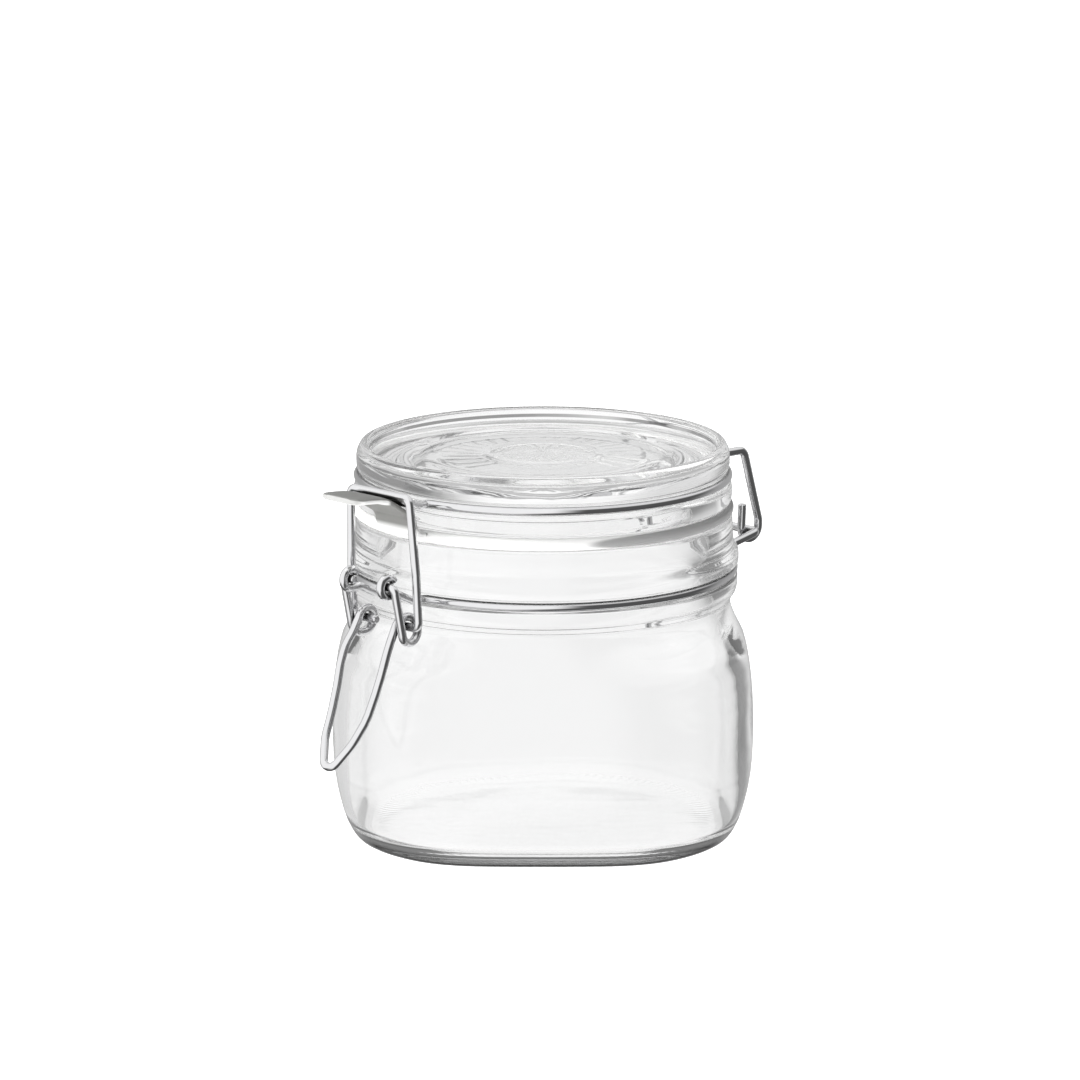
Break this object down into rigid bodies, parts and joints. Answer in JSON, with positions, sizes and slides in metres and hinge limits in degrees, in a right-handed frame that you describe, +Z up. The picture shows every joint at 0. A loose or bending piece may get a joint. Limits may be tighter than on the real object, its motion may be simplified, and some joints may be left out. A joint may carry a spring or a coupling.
{
  "type": "bail clamp jar",
  "caption": "Square-bodied glass storage jar with a round hinged glass lid, a ring gasket with a pull tab, and a wire bail clasp worked by a looped lever.",
  "frame": {"origin": "centre of the square base, on the plane the jar stands on; within 1 mm of the centre of the whole footprint with the wires", "axes": "+Z up; -Y towards one flat side of the body; the clasp stands on the corner towards (-X, -Y) and the hinge on the corner towards (+X, +Y)"},
  "size_m": [0.1101, 0.1101, 0.0979],
  "materials": {
    "jar": "clear soda-lime glass, polished",
    "lid": "clear pressed glass, polished",
    "gasket": "translucent white silicone, satin",
    "wire": "bright drawn steel wire"
  },
  "bodies": {
    "jar": {"jar": "jar", "neck_ring": "wire", "gasket": "gasket"},
    "lid": {"lid": "lid", "lid_ring": "wire"},
    "lever": {"lever": "wire"},
    "bail": {"bail": "wire"}
  },
  "joints": [
    {"name": "lid_hinge", "type": "hinge", "parent": "jar", "child": "lid", "pos_m": [0.0425, 0.0425, 0.0683], "axis": [-0.7071, 0.7071, 0], "range_deg": [0, 110]},
    {"name": "lever_pivot", "type": "hinge", "parent": "jar", "child": "lever", "pos_m": [-0.04221, -0.04221, 0.07135], "axis": [-0.7071, 0.7071, 0], "range_deg": [0, 120]},
    {"name": "bail_swing", "type": "hinge", "parent": "lever", "child": "bail", "pos_m": [-0.03818, -0.03818, 0.06075], "axis": [-0.7071, 0.7071, 0], "range_deg": [-132, 0]}
  ],
  "couplings": [
    {"joint": "bail_swing", "follows": "lever_pivot", "ratio": -1.1}
  ]
}
